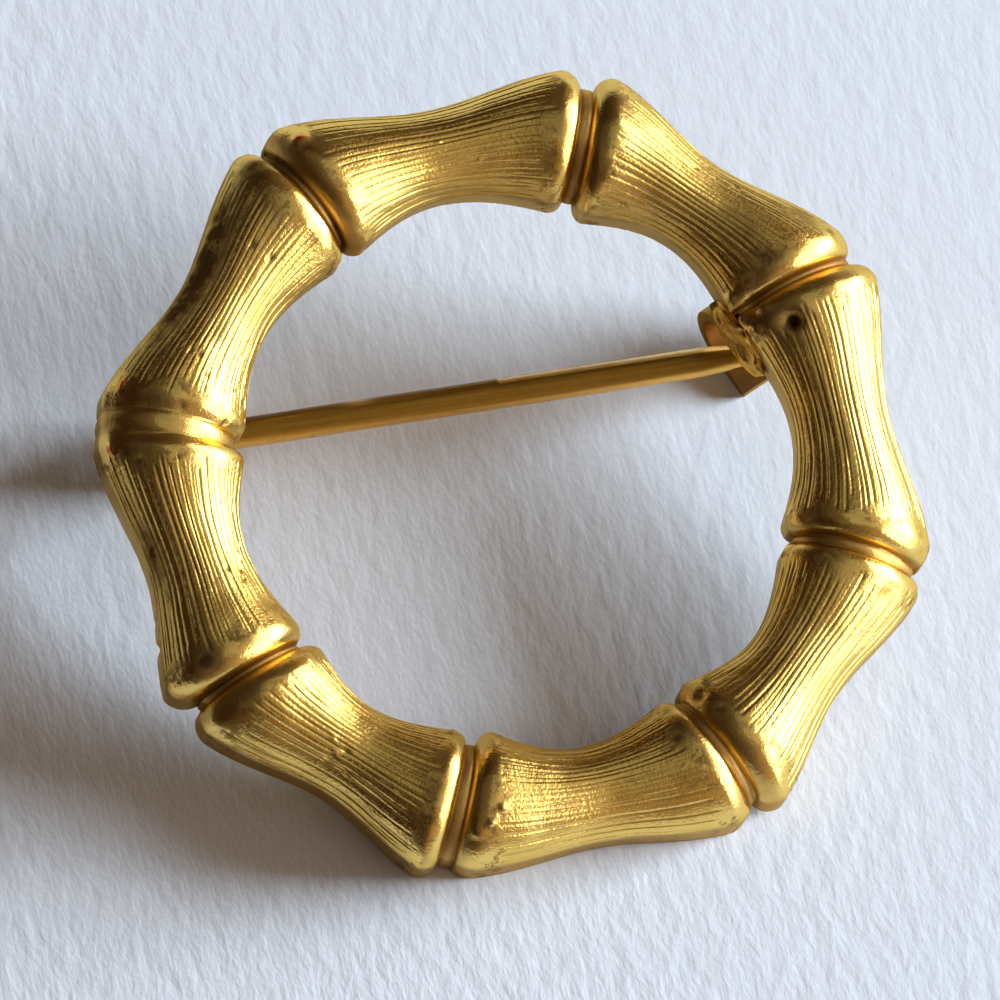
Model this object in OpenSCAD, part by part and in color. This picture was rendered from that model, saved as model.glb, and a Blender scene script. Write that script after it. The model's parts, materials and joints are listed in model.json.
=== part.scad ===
// Bamboo circle brooch: a cast ring of eight bamboo lengths with a hinged pin stem across its back.
// Millimetres. The brooch lies on its back, on the catch, the hinge and the ring's near edge, at z = 0.
// The ring is made lying flat with its back at z = 0 and the stem along x, and then it is tilted.

/* [Ring] */
// Outer radius of the ring over its knuckles
knuckle_out = 16; // [15.9:0.05:16.2]
// Radius of the opening between the knuckles
knuckle_in = 10.45; // [10.3:0.05:10.6]
// Height of a knuckle over the flat back
knuckle_h = 3; // [2.7:0.1:3.3]
// Height at the waist of a length
waist_h = 2.35; // [2.1:0.05:2.6]
// Height of the neck that joins two lengths
neck_h = 2.45; // [2.2:0.05:2.6]
// Straight part of the sides above the sharp back edge
side_wall = 0.35; // [0.1:0.05:0.6]

/* [Grooves] */
// Half the width of the neck at the foot of a groove
neck_half = 0.33; // [0.25:0.01:0.4]
// How far the neck's middle stands over its edges
neck_crown = 0.1; // [0.05:0.01:0.15]
// Distance from the middle of a groove to the crest of the lip beside it
lip_end = 0.95; // [0.8:0.05:1.1]
// How fast a length narrows from its crest to its waist
flare = 2.1; // [1.8:0.1:2.6]

/* [Pin stem] */
// Thickness of the stem
stem_d = 1.15; // [1.05:0.01:1.2]
// Distance of the stem from the ring's centre, across the ring
stem_y = 3.95; // [3.8:0.05:4.1]
// Depth of the stem's axis below the ring's back
stem_depth = 2.4; // [2.35:0.01:2.45]
// Where the round shank starts beside the eye
shank_from = -10.8; // [-10.9:0.05:-10.7]
// Where the shank ends and the point begins
shank_to = 8.6; // [8:0.1:8.9]
// Where the point ends
point_to = 12.6; // [12:0.1:12.9]
// Thickness of the point at its end
point_d = 0.24; // [0.15:0.01:0.4]

/* [Hinge] */
// Place of the rivet along the stem
hinge_x = -12.3; // [-12.4:0.05:-12.2]
// Thickness of the rivet
rivet_d = 0.9; // [0.8:0.05:0.95]
// Width of the rivet's heads
rivet_head_d = 1.4; // [1.2:0.05:1.6]
// Height of the rivet's heads
rivet_head_h = 0.25; // [0.2:0.05:0.35]
// Room between the rivet and the eye, all round
eye_clearance = 0.05; // [0.03:0.01:0.08]
// Outer diameter of the eye at the stem's end
eye_d = 2; // [1.8:0.05:2.1]
// Thickness of the bracket's ears
ear_t = 0.6; // [0.5:0.05:0.7]
// Room between the eye and each ear
ear_gap = 0.075; // [0.05:0.005:0.1]
// Length of the bracket's base, along the stem
base_l = 3; // [2.6:0.1:3.2]
// Thickness of the bracket's base
base_t = 0.5; // [0.4:0.05:0.6]

/* [Catch] */
// Width of the catch's strip
strip_w = 3; // [2.6:0.1:3.2]
// Thickness of the catch's strip
strip_t = 0.45; // [0.35:0.05:0.5]
// Depth of the whole hook below the ring's back
hook_h = 3.5; // [3.45:0.01:3.6]
// Radius at which the strip's inner edge lies
strip_from = 10.3; // [10.15:0.05:10.4]
// Place of the hook's bend along the ring, from the joint's middle
bend_at = -0.2; // [-0.3:0.05:0.1]
// Length of the hook's lower arm
arm_l = 1.65; // [1.45:0.05:1.75]
// Length of the soldered foot beyond the bend
foot_l = 1.6; // [1.4:0.05:1.8]
// How far the solder fills the gap between the ring's back and the bend
solder_l = 1.1; // [0.8:0.05:1.2]

/* [Hidden] */

GOLD = [0.83, 0.64, 0.22];
ROUND = 64;         // facets of a drawn circle
ARC_STEPS = 16;     // steps over a length's domed section
LIP_STEPS = 5;      // steps round a lip
FLARE_STEPS = 6;    // steps from a crest to the waist
SOLDER = 0.15;      // how deep the soldered feet are sunk into the back
HOLE_PLAY = 0.01;   // room round the rivet in the ears and under its heads
NECK_TAPER = 0.01;  // how much smaller the stem's radius is where it meets its eye
CROWDING = 1.2;     // how much closer the flare's steps lie near the crest, 1 for even steps
OVER = 1;           // how far a cutting body stands over what it cuts

// Joints between the lengths, anticlockwise: the catch lies behind the first, the hinge behind the fourth
ANGLE = 0;          // degrees from the stem's direction
SKEW = 1;           // degrees by which the groove's outer end runs ahead of its inner end
NECK_OUT = 2;       // radius of the neck's outer side
NECK_IN = 3;        // radius of the neck's inner side
JOINTS = [
    [24.6, -3.5, 15.5, 10.9],
    [68, 1, 15.4, 11.1],
    [116.8, 1.5, 15.35, 10.9],
    [164.7, -1.5, 15.9, 10.75],
    [208.5, -3, 15.2, 10.9],
    [249.6, -1, 15.5, 10.85],
    [294.4, 1, 15.5, 10.8],
    [336.7, -1, 15.6, 10.9],
];

// Bamboo lengths: each runs from the joint of the same row to the next one
CREST_OUT = 0;      // outer radius at the crests, as a share of knuckle_out
WAIST_OUT = 1;      // outer radius at the waist
WAIST_IN = 2;       // inner radius at the waist
CREST_IN = 3;       // inner radius at the crests, as a share of knuckle_in
LENGTHS = [
    [0.988, 14.7, 11.1, 1.015],
    [0.987, 14.45, 10.95, 1],
    [0.985, 14.4, 10.7, 1],
    [0.993, 14.75, 10.8, 0.996],
    [0.998, 14.8, 10.9, 0.996],
    [0.991, 14.75, 10.95, 1.004],
    [0.991, 14.8, 11, 1.006],
    [0.996, 14.7, 10.95, 1.004],
];

mid_r = (knuckle_out + knuckle_in) / 2;
function mix(from, to, share) = from + (to - from) * share;
function next(i) = (i + 1) % len(JOINTS);
function span(i) = (JOINTS[next(i)][ANGLE] - JOINTS[i][ANGLE] + 360) % 360;

// Size at a distance t from the middle of a groove: the crowned neck, the round lip,
// then the flare to the waist
function lip_share(t) = let (u = (lip_end - t) / (lip_end - neck_half)) sqrt(max(0, 1 - u * u));
function flare_share(u) = pow(max(0, 1 - u), flare) * (1 + u);
function size_at(t, half, neck, crown, knuckle, waist) =
    t <= neck_half ? neck - crown * pow(t / neck_half, 2)
    : t <= lip_end ? mix(neck - crown, knuckle, lip_share(t))
    : mix(waist, knuckle, flare_share((t - lip_end) / (half - lip_end)));

// Domed section with a flat back across the ring at the given angle, turned by the skew from side to side
function section(angle, skew, r_out, r_in, top) =
    let (mid = (r_out + r_in) / 2, half = (r_out - r_in) / 2)
    [for (p = concat(
        [[r_out, 0]],
        [for (k = [0:ARC_STEPS])
            let (a = 180 * k / ARC_STEPS)
            [mid + half * cos(a), side_wall + (top - side_wall) * sin(a)]],
        [[r_in, 0]]))
        let (a = angle + skew * (p.x - mid_r) / (knuckle_out - knuckle_in))
        [p.x * cos(a), p.x * sin(a), p.y]];

// Distances from a groove's middle at which half a length has a section
function half_stations(half) = concat(
    [0],
    [for (k = [0:LIP_STEPS]) lip_end - (lip_end - neck_half) * cos(90 * k / LIP_STEPS)],
    [for (k = [1:FLARE_STEPS]) mix(lip_end, half, pow(k / FLARE_STEPS, CROWDING))]);

function length_section(i, t, half, at_end) =
    let (joint = JOINTS[at_end ? next(i) : i], size = LENGTHS[i], turn = 180 * t / (PI * mid_r))
    section(
        joint[ANGLE] + (at_end ? -turn : turn),
        joint[SKEW] * pow(1 - t / half, 2),
        size_at(t, half, joint[NECK_OUT], neck_crown, knuckle_out * size[CREST_OUT], size[WAIST_OUT]),
        size_at(t, half, joint[NECK_IN], -neck_crown, knuckle_in * size[CREST_IN], size[WAIST_IN]),
        size_at(t, half, neck_h, neck_crown, knuckle_h, waist_h));

// All sections of one length, from its first groove up to, but not with, its second groove's middle
function length_sections(i) =
    let (half = span(i) * PI / 360 * mid_r, at = half_stations(half), last = len(at) - 1)
    concat(
        [for (k = [0:last]) length_section(i, at[k], half, false)],
        [for (k = [last - 1:-1:1]) length_section(i, at[k], half, true)]);

sections = [for (i = [0:len(JOINTS) - 1]) each length_sections(i)];
ring_points = [for (s = sections) each s];
per_section = ARC_STEPS + 3;

// The tilt that sets the ring's near edge down beside the hook's lowest corner
near_y = min([for (p = ring_points) p.y]);
catch_angle = JOINTS[0][ANGLE];
arm_end = bend_at - arm_l;
hook_y = strip_from * sin(catch_angle) + arm_end * cos(catch_angle);
tilt = atan(hook_h / (hook_y - near_y));

// The ears reach down to the surface as well
eye_w = stem_d;
ears_out = eye_w / 2 + ear_gap + ear_t;
ear_r = (stem_y - ears_out - near_y) * tan(tilt) - stem_depth;

// Shifts that put the origin under the middle of the lying brooch
laid_y = [for (p = ring_points) p.y * cos(tilt) - p.z * sin(tilt)];
ring_x = [for (p = ring_points) p.x];
shift = [-(min(ring_x) + max(ring_x)) / 2, -(min(laid_y) + max(laid_y)) / 2, -near_y * sin(tilt)];

// Lays a piece made in the ring's own plane down on the surface
module laid() {
    translate(shift) rotate([tilt, 0, 0]) children();
}

// A round bar across the stem's direction, centred on the rivet
module rivet_bar(d, l) {
    translate([hinge_x, stem_y, -stem_depth]) rotate([90, 0, 0])
        cylinder(d = d, h = l, center = true, $fn = ROUND);
}

// Eight bamboo lengths in one casting
module bamboo() {
    count = len(sections);
    polyhedron(
        points = ring_points,
        faces = [for (j = [0:count - 1], k = [0:per_section - 1])
            let (a = j * per_section, b = (j + 1) % count * per_section, n = (k + 1) % per_section)
            [a + k, a + n, b + n, b + k]]);
}

// One ear of the bracket: a tab with a round lower end
module ear() {
    translate([hinge_x, 0, 0]) union() {
        translate([-ear_r, -ear_t / 2, -stem_depth]) cube([2 * ear_r, ear_t, stem_depth - base_t / 2]);
        translate([0, 0, -stem_depth]) rotate([90, 0, 0])
            cylinder(r = ear_r, h = ear_t, center = true, $fn = ROUND);
    }
}

// Bracket with two ears that carry the rivet
module bracket() {
    difference() {
        union() {
            translate([hinge_x - base_l / 2, stem_y - ears_out, -base_t])
                cube([base_l, 2 * ears_out, base_t + SOLDER]);
            for (side = [-1, 1])
                translate([0, stem_y + side * (ears_out - ear_t / 2), 0]) ear();
        }
        rivet_bar(rivet_d + 2 * HOLE_PLAY, 2 * (ears_out + OVER));
    }
}

// Catch: a strip bent into a C that is open towards the near side, soldered along its foot
module hook() {
    bend_r = hook_h / 2;
    solder_y = sqrt(bend_r * bend_r - solder_l * solder_l) - bend_r - strip_t / 4;
    rotate([0, 0, catch_angle]) translate([strip_from, bend_at, 0]) rotate([90, 0, 90]) {
        difference() {
            translate([0, -bend_r, 0]) cylinder(r = bend_r, h = strip_w, $fn = ROUND);
            translate([0, -bend_r, -OVER])
                cylinder(r = bend_r - strip_t, h = strip_w + 2 * OVER, $fn = ROUND);
            translate([-bend_r - OVER, -hook_h - OVER, -OVER])
                cube([bend_r + OVER, hook_h + 2 * OVER, strip_w + 2 * OVER]);
        }
        translate([-foot_l, -strip_t, 0]) cube([foot_l, strip_t + SOLDER, strip_w]);
        translate([-arm_l, -hook_h, 0]) cube([arm_l, strip_t, strip_w]);
        linear_extrude(strip_w)
            polygon([[0, SOLDER], [0, -strip_t / 2], [solder_l, solder_y], [solder_l + strip_t, SOLDER]]);
    }
}

module bamboo_ring() {
    color(GOLD) laid() union() {
        bamboo();
        bracket();
        hook();
    }
}

module hinge_rivet() {
    head_at = ears_out + HOLE_PLAY;
    color(GOLD) laid() union() {
        rivet_bar(rivet_d, 2 * head_at + rivet_head_h);
        for (side = [-1, 1])
            translate([0, side * (head_at + rivet_head_h / 2), 0]) rivet_bar(rivet_head_d, rivet_head_h);
    }
}

// Stem with its eye round the rivet, a short neck, a round shank and a slim point
module pin_stem() {
    neck_from = hinge_x + (rivet_d + eye_d) / 4;
    color(GOLD) laid() difference() {
        union() {
            rivet_bar(eye_d, eye_w);
            translate([0, stem_y, -stem_depth]) rotate([0, 90, 0]) rotate_extrude($fn = ROUND)
                polygon([
                    [0, neck_from],
                    [stem_d / 2 - NECK_TAPER, neck_from],
                    [stem_d / 2, shank_from],
                    [stem_d / 2, shank_to],
                    [point_d / 2, point_to],
                    [0, point_to]]);
        }
        rivet_bar(rivet_d + 2 * eye_clearance, eye_w + 2 * OVER);
    }
}

bamboo_ring();
hinge_rivet();
pin_stem();
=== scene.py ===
"""Looks of a bamboo circle brooch: a cast gold-tone ring of eight bamboo lengths with a pin stem behind it.

Shapes are worked out in millimetres in the ring's own plane, with its flat back at z = 0 and the stem
along x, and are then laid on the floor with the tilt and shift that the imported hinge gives.
"""

import json
import logging
import math
from dataclasses import dataclass
from enum import Enum
from functools import reduce
from typing import NamedTuple

import bpy
import numpy as np
from mathutils import Matrix, Vector


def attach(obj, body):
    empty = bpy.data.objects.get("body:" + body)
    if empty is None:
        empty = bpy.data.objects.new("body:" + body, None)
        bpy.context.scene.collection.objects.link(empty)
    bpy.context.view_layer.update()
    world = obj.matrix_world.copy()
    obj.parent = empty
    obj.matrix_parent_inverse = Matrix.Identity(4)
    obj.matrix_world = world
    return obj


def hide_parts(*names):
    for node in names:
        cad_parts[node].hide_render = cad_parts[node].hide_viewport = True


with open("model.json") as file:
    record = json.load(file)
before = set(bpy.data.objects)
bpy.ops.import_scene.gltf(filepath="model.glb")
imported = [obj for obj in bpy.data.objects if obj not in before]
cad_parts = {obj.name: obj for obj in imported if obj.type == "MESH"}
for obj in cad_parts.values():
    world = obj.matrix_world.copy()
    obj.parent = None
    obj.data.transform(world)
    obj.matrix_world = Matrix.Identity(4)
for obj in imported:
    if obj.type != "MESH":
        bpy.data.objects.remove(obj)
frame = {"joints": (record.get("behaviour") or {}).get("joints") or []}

LOG = logging.getLogger("brooch")
MM = 0.001
SOFT_EDGE_DEG = 40.0


# Shader maths


class Signal:
    """One shader socket that takes part in Python arithmetic. Colours are mixed by Graph.blend."""

    def __init__(self, graph: "Graph", socket: bpy.types.NodeSocket) -> None:
        """Keeps the socket and the graph that it belongs to."""
        self.graph = graph
        self.socket = socket

    def _with(self, operation: str, first: object, second: object) -> "Signal":
        """Adds the node that fits this socket's kind of value.

        Args:
            operation: Name of the operation.
            first: First operand, a Signal or plain values.
            second: Second operand, a Signal or plain values.

        Returns:
            The result's Signal.
        """
        kind = "ShaderNodeVectorMath" if self.socket.type == "VECTOR" else "ShaderNodeMath"
        return self.graph.signal(kind, {"operation": operation}, {0: first, 1: second})

    def __add__(self, other: object) -> "Signal":
        """Returns self + other."""
        return self._with("ADD", self, other)

    def __radd__(self, other: object) -> "Signal":
        """Returns other + self."""
        return self._with("ADD", other, self)

    def __sub__(self, other: object) -> "Signal":
        """Returns self - other."""
        return self._with("SUBTRACT", self, other)

    def __rsub__(self, other: object) -> "Signal":
        """Returns other - self."""
        return self._with("SUBTRACT", other, self)

    def __mul__(self, other: object) -> "Signal":
        """Returns self * other."""
        return self._with("MULTIPLY", self, other)

    def __rmul__(self, other: object) -> "Signal":
        """Returns other * self."""
        return self._with("MULTIPLY", other, self)


class Graph:
    """A material's or a world's node tree, built with Python expressions."""

    def __init__(self, tree: bpy.types.NodeTree) -> None:
        """Empties the tree and keeps it."""
        self.tree = tree
        tree.nodes.clear()

    def node(self, kind: str, settings: dict, inputs: dict) -> bpy.types.Node:
        """Adds one node.

        Args:
            kind: Type name of the node.
            settings: Its own settings, set first. A ramp's "stops" are (place, colour) pairs.
            inputs: Values or Signals by the name or number of the socket.

        Returns:
            The new node.
        """
        node = self.tree.nodes.new(kind)
        for name, value in settings.items():
            if name == "stops":
                self._set_stops(node.color_ramp, value)
            else:
                setattr(node, name, value)
        for name, value in inputs.items():
            if isinstance(value, Signal):
                self.tree.links.new(value.socket, node.inputs[name])
            else:
                node.inputs[name].default_value = value
        return node

    @staticmethod
    def _set_stops(ramp: bpy.types.ColorRamp, stops: list) -> None:
        """Gives a colour ramp its stops.

        Args:
            ramp: The ramp.
            stops: (place, colour) pairs in rising order.
        """
        while len(ramp.elements) < len(stops):
            ramp.elements.new(1.0)
        for element, (place, colour) in zip(ramp.elements, stops):
            element.position = place
            element.color = (*colour, 1.0)

    def signal(self, kind: str, settings: dict, inputs: dict, output: object = 0) -> Signal:
        """Adds one node and returns one of its outputs.

        Args:
            kind: Type name of the node.
            settings: Its own settings.
            inputs: Values or Signals by the name or number of the socket.
            output: Name or number of the output.

        Returns:
            That output's Signal.
        """
        return Signal(self, self.node(kind, settings, inputs).outputs[output])

    def noise(self, at: Signal, scale: float, detail: float = 2.0, roughness: float = 0.5) -> Signal:
        """Returns soft noise from 0 to 1 at the given coordinates."""
        values = {"Vector": at, "Scale": scale, "Detail": detail, "Roughness": roughness}
        return self.signal("ShaderNodeTexNoise", {"noise_dimensions": "3D"}, values, "Fac")

    def between(self, value: Signal, low: float, high: float) -> Signal:
        """Returns 0 below low, 1 above high and a smooth step between them."""
        values = {"Value": value, "From Min": low, "From Max": high, "To Min": 0.0, "To Max": 1.0}
        return self.signal("ShaderNodeMapRange", {"interpolation_type": "SMOOTHSTEP"}, values, "Result")

    def blend(self, factor: object, first: object, second: object) -> Signal:
        """Returns the first colour where the factor is 0 and the second where it is 1."""
        values = {"Factor": factor, 6: first, 7: second}
        return self.signal("ShaderNodeMix", {"data_type": "RGBA"}, values, 2)

    def attribute(self, name: str) -> Signal:
        """Returns a number that the mesh carries at each of its points."""
        return self.signal("ShaderNodeAttribute", {"attribute_name": name}, {}, "Fac")

    def uv(self, name: str) -> Signal:
        """Returns the mesh's coordinates of this name."""
        return self.signal("ShaderNodeUVMap", {"uv_map": name}, {})

    def place(self) -> Signal:
        """Returns the place on the piece, in metres."""
        return self.signal("ShaderNodeTexCoord", {}, {}, "Object")

    def larger(self, first: Signal, second: Signal) -> Signal:
        """Returns the larger of two numbers, kept from 0 to 1."""
        settings = {"operation": "MAXIMUM", "use_clamp": True}
        return self.signal("ShaderNodeMath", settings, {0: first, 1: second})

    def toward(self, at: Signal, way: tuple) -> Signal:
        """Returns how far coordinates reach along a direction."""
        return self.signal("ShaderNodeVectorMath", {"operation": "DOT_PRODUCT"}, {0: at, 1: way}, "Value")

    def bump(self, height: Signal, depth_mm: float) -> Signal:
        """Returns the normal of a surface with this relief of the given depth."""
        values = {"Strength": 1.0, "Distance": depth_mm * MM, "Height": height}
        return self.signal("ShaderNodeBump", {}, values, "Normal")

    def surface(self, values: dict) -> None:
        """Ends a material with a Principled shader.

        Args:
            values: Values or Signals by the name of the shader's socket.
        """
        shader = self.node("ShaderNodeBsdfPrincipled", {}, values)
        output = self.node("ShaderNodeOutputMaterial", {}, {})
        self.tree.links.new(shader.outputs[0], output.inputs["Surface"])


def colour(red: float, green: float, blue: float) -> tuple:
    """Returns a colour with full alpha."""
    return (red, green, blue, 1.0)


# Finishes


@dataclass(frozen=True)
class Finish:
    """A surface's look. Subclasses fill the node graph."""

    name: str

    def fill(self, graph: Graph) -> None:
        """Fills the material's graph."""
        raise NotImplementedError

    def material(self) -> bpy.types.Material:
        """Returns the finished material."""
        made = bpy.data.materials.new(self.name)
        made.use_nodes = True
        self.fill(Graph(made.node_tree))
        return made


@dataclass(frozen=True)
class BambooGold(Finish):
    """Gold of the bamboo lengths: satin between cuts, polished lips, stains, tarnished grooves and painted
    shade.
    """

    gold: tuple = colour(0.97, 0.69, 0.2)
    deep_gold: tuple = colour(0.82, 0.53, 0.12)
    wall_shade_gold: tuple = colour(0.5, 0.35, 0.15)
    rim_tint: tuple = colour(1.0, 0.79, 0.48)
    tarnish: tuple = colour(0.16, 0.08, 0.025)
    soot_and_shade: tuple = colour(0.045, 0.022, 0.009)
    groove_dirt_and_shade: tuple = colour(0.48, 0.27, 0.08)
    copper: tuple = colour(1.0, 0.3, 0.04)
    satin: float = 0.18
    polish: float = 0.16
    relief_mm: float = 0.016
    streak_stretch: tuple = (0.9, 11.0, 1.0)
    cloud_scale: float = 420.0
    patch_scale: float = 1500.0
    grain_scale: float = 8000.0
    soot_and_shade_from: float = 1.05
    soot_and_shade_full: float = 1.6

    def fill(self, graph: Graph) -> None:
        """Mixes tarnish, wear and streaks from the marks that the mesh carries.

        Args:
            graph: The material's graph.
        """
        place = graph.place()
        streaks = graph.noise(graph.uv("bamboo") * self.streak_stretch, 1.0, 4.0, 0.6)
        clouds = graph.noise(place, self.cloud_scale, 3.0)
        patches = graph.noise(place, self.patch_scale, 4.0, 0.7)
        grains = graph.noise(place, self.grain_scale, 2.0, 0.7)
        cloudy = graph.between(clouds, 0.35, 0.65)
        names = ("cut", "seam", "edge", "stain", "copper", "lip", "wall", "groove")
        cut, seam, edge, stain, copper, lip, wall, groove = map(graph.attribute, names)
        layers = (
            # Dark in the cut lines: dirt in the cuts together with painted shade in them.
            cut * graph.between(streaks, 0.35, 0.7) * 0.5,
            seam * (0.6 + 0.4 * cloudy),
            edge * graph.between(patches, 0.5, 0.58) * 0.75,
            graph.between(patches, 0.66, 0.7) * 0.6,
            stain * (0.65 + 0.5 * graph.between(patches, 0.35, 0.6)),
        )
        # dirt gathers real dirt and tarnish together with the painted shade of the cuts and of some stains.
        dirt = reduce(graph.larger, layers) * (1.0 - copper)
        # Over its full strength the darkening turns near black: soot in the pit on the last length, and
        # painted shade on the band along the third length's outer side.
        soot_and_shade = graph.between(stain, self.soot_and_shade_from, self.soot_and_shade_full)
        # The grooves' brown is tarnish in the hollows together with painted shade of the deep grooves and
        # of the end faces turned from the light.
        brown = groove * (0.7 + 0.45 * cloudy)
        gold = graph.blend(graph.between(clouds, 0.4, 0.75) * 0.5, self.gold, self.deep_gold)
        # The walls take a darker colour that is painted shade, standing in for shadowed floor seen in the
        # metal.
        for share, tone in ((wall, self.wall_shade_gold), (brown, self.groove_dirt_and_shade), (copper, self.copper)):
            gold = graph.blend(share, gold, tone)
        satin = self.satin + 0.16 * (streaks - 0.5) + 0.1 * (clouds - 0.5)
        polish = self.polish + 0.1 * (clouds - 0.5)
        dulled = 0.25 * dirt + 0.3 * graph.between(stain, 0.4, 1.0) + 0.25 * wall + 0.25 * brown
        relief = (1.0 - lip) * (0.4 * streaks + 0.5 * grains) + 0.7 * grains + 0.7 * patches
        graph.surface(
            {
                "Base Color": graph.blend(soot_and_shade, graph.blend(dirt, gold, self.tarnish), self.soot_and_shade),
                "Metallic": 1.0 - 0.3 * copper,
                "Roughness": satin + lip * (polish - satin) + dulled,
                "Specular Tint": self.rim_tint,
                "Normal": graph.bump(relief, self.relief_mm),
            }
        )


@dataclass(frozen=True)
class PlainGold(Finish):
    """Plain gilt metal of the bracket, the rivet, the catch and its solder."""

    gold: tuple = colour(0.86, 0.60, 0.21)
    tarnish: tuple = colour(0.22, 0.11, 0.035)
    roughness: float = 0.24
    relief_mm: float = 0.006
    rim_tint: tuple = colour(1.0, 0.72, 0.36)
    cloud_scale: float = 600.0
    grain_scale: float = 5200.0

    def fill(self, graph: Graph) -> None:
        """Adds light clouds of tarnish and a fine grain.

        Args:
            graph: The material's graph.
        """
        place = graph.place()
        clouds = graph.noise(place, self.cloud_scale, 4.0, 0.6)
        grains = graph.noise(place, self.grain_scale, 3.0, 0.6)
        dirt = graph.between(clouds, 0.52, 0.8) * 0.6
        graph.surface(
            {
                "Base Color": graph.blend(dirt, self.gold, self.tarnish),
                "Metallic": 1.0,
                "Roughness": self.roughness + 0.18 * (clouds - 0.5) + 0.2 * dirt,
                "Specular Tint": self.rim_tint,
                "Normal": graph.bump(grains, self.relief_mm),
            }
        )


@dataclass(frozen=True)
class WireGold(Finish):
    """Drawn wire of the stem, with faint draw marks, a few worn specks, painted shade and a pale strip of
    painted sheen.
    """

    gold: tuple = colour(0.82, 0.45, 0.095)
    # worn: the colour of the worn specks, also used as painted shade on the wire's shaded side.
    worn: tuple = colour(0.2, 0.105, 0.012)
    scuffed: tuple = colour(0.98, 0.64, 0.22)
    roughness: float = 0.25
    relief_mm: float = 0.008
    mark_stretch: tuple = (0.22, 9.0, 1.0)
    speck_stretch: tuple = (1.3, 2.4, 1.0)

    def fill(self, graph: Graph) -> None:
        """Draws the long marks along the wire, the painted shade of its shaded side, the worn specks and
        the painted sheen strip.

        Args:
            graph: The material's graph.
        """
        uv = graph.uv("wire")
        marks = graph.noise(uv * self.mark_stretch, 1.0, 3.0, 0.55)
        specks = graph.noise(uv * self.speck_stretch, 1.0, 4.0, 0.7)
        # This mark carries the worn speck and the painted shade of the wire's shaded side.
        stain = graph.attribute("stain") * (0.75 + 0.5 * marks)
        scuff = graph.attribute("scuff") * graph.between(marks, 0.3, 0.5)
        dirt = graph.larger(graph.between(specks, 0.6, 0.72) * 0.5, stain)
        graph.surface(
            {
                "Base Color": graph.blend(scuff, graph.blend(dirt, self.gold, self.worn), self.scuffed),
                "Metallic": 1.0 - 0.6 * scuff,
                "Roughness": self.roughness + 0.14 * (marks - 0.5) + 0.15 * dirt,
                "Normal": graph.bump(marks, self.relief_mm),
            }
        )


@dataclass(frozen=True)
class PaperFinish(Finish):
    """Plain pale floor."""

    pale: tuple = colour(0.80, 0.81, 0.84)
    roughness: float = 0.8
    relief_mm: float = 0.03
    grain_scale: float = 900.0
    grain_stretch: tuple = (1.6, 0.7, 1.0)
    coarse_way: tuple = (-0.75, -0.66, 0.0)

    def fill(self, graph: Graph) -> None:
        """Gives the floor its colour and a fine grain that is coarser on the near left.

        Args:
            graph: The material's graph.
        """
        place = graph.place()
        grain = graph.noise(place * self.grain_stretch, self.grain_scale, 3.0, 0.6)
        coarse = 0.65 + 0.9 * graph.between(graph.toward(place, self.coarse_way), -0.02, 0.03)
        relief = graph.bump(grain * coarse, self.relief_mm)
        graph.surface({"Base Color": self.pale, "Roughness": self.roughness, "Normal": relief})


# Placing and meshes


@dataclass(frozen=True)
class Placing:
    """How the ring's own plane lies in the row frame."""

    tilt: float
    shift: np.ndarray

    @classmethod
    def from_hinge(cls, joint: dict, rivet: tuple) -> "Placing":
        """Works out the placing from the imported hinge.

        Args:
            joint: The frame's hinge, with its place and axis.
            rivet: The rivet's middle in the ring's own plane, in millimetres.

        Returns:
            The placing that carries the rivet to the hinge.
        """
        _, along_y, along_z = joint["axis"]
        tilt = math.atan2(along_z, along_y)
        turned = cls(tilt, np.zeros(3)).turned(np.array(rivet, float))
        return cls(tilt, np.array(joint["pos_m"]) / MM - turned)

    def turned(self, points: np.ndarray) -> np.ndarray:
        """Turns points or directions about x by the tilt.

        Args:
            points: Points or directions of the ring's own plane.

        Returns:
            The same ones, turned.
        """
        cos, sin = math.cos(self.tilt), math.sin(self.tilt)
        x, y, z = points[..., 0], points[..., 1], points[..., 2]
        return np.stack([x, y * cos - z * sin, y * sin + z * cos], axis=-1)

    def laid(self, points: np.ndarray) -> np.ndarray:
        """Returns points of the ring's own plane, in millimetres, as metres of the row frame."""
        return (self.turned(points) + self.shift) * MM


def round_turn(steps: int) -> np.ndarray:
    """Returns evenly spaced angles round a full turn."""
    return 2 * math.pi * np.arange(steps) / steps


def smooth_noise(rng: np.random.Generator, shape: tuple, cells: tuple) -> np.ndarray:
    """Makes soft noise on a grid.

    Args:
        rng: Seeded source of the random values.
        shape: Rows and columns of the result.
        cells: Lumps along the rows and along the columns.

    Returns:
        Values from -1 to 1.
    """
    coarse = rng.uniform(-1, 1, (cells[0] + 2, cells[1] + 2))

    def steps(count: int, lumps: int) -> tuple:
        """Spreads steps over the lumps.

        Args:
            count: How many steps there are.
            lumps: How many lumps they cross.

        Returns:
            The lump of each step and the smooth share within it.
        """
        at = np.linspace(0, lumps, count) * (1 - 1e-9)
        cell = at.astype(int)
        share = at - cell
        return cell, share * share * (3 - 2 * share)

    (row, row_share), (column, column_share) = map(steps, shape, cells)

    def along(rows: np.ndarray) -> np.ndarray:
        """Returns these rows of the coarse grid, smooth along the columns."""
        return coarse[rows][:, column] * (1 - column_share) + coarse[rows][:, column + 1] * column_share

    row_share = row_share[:, None]
    return along(row) * (1 - row_share) + along(row + 1) * row_share


class Skin(NamedTuple):
    """A closed surface as rows of points, each row a closed loop."""

    points: np.ndarray
    marks: dict
    uv: np.ndarray


def linked(name: str, mesh: bpy.types.Mesh) -> bpy.types.Object:
    """Puts a mesh in the scene.

    Args:
        name: The object's name.
        mesh: The mesh.

    Returns:
        The new object.
    """
    made = bpy.data.objects.new(name, mesh)
    bpy.context.scene.collection.objects.link(made)
    return made


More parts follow.
